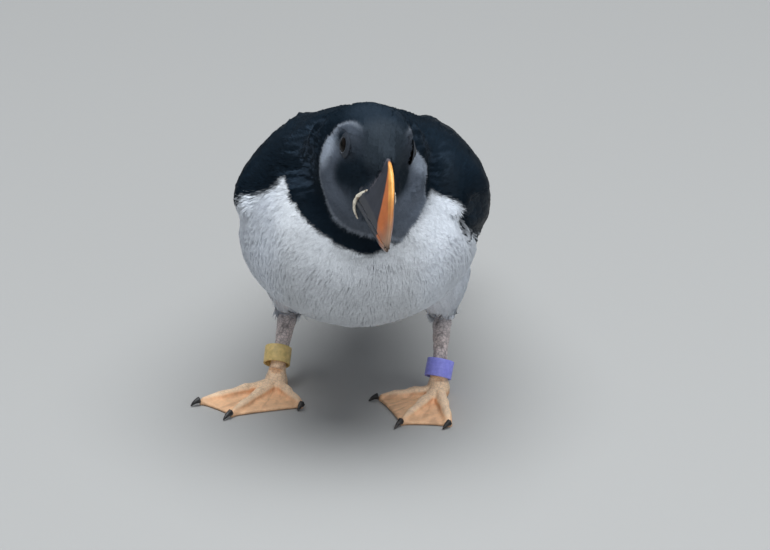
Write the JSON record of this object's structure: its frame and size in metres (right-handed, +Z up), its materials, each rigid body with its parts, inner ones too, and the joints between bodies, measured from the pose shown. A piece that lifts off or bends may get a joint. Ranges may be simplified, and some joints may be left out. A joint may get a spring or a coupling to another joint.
{
  "type": "atlantic puffin",
  "caption": "Still model of an Atlantic puffin in winter plumage, standing with its head drawn in and lowered, with a plain plastic ring on either leg.",
  "frame": {"origin": "centre of the bounding box on the floor, under the bird", "axes": "+Y from the bill towards the tail, so the bird faces -Y; +X its own left side; +Z up"},
  "size_m": [0.1128, 0.2408, 0.139],
  "materials": {
    "black_plumage": "soft feathers with a faint cool sheen",
    "white_plumage": "soft matt feathers",
    "shank_skin": "scaly skin",
    "foot_skin": "creased skin",
    "bill_horn": "satin horn",
    "claw": "satin horn",
    "eye": "wet",
    "yellow_ring": "worn plastic",
    "purple_ring": "worn plastic"
  },
  "bodies": {
    "root": {"back": "black_plumage", "belly": "white_plumage", "bill_lower": "bill_horn", "bill_upper": "bill_horn", "claw_left_inner": "claw", "claw_left_middle": "claw", "claw_left_outer": "claw", "claw_right_inner": "claw", "claw_right_middle": "claw", "claw_right_outer": "claw", "eye_left": "eye", "eye_right": "eye", "foot_left": "foot_skin", "foot_right": "foot_skin", "head": "black_plumage", "leg_ring_left": "purple_ring", "leg_ring_right": "yellow_ring", "neck": "black_plumage", "tail": "black_plumage", "tarsus_left": "shank_skin", "tarsus_right": "shank_skin", "thigh_left": "white_plumage", "thigh_right": "white_plumage", "wing_left": "black_plumage", "wing_right": "black_plumage"}
  },
  "joints": []
}
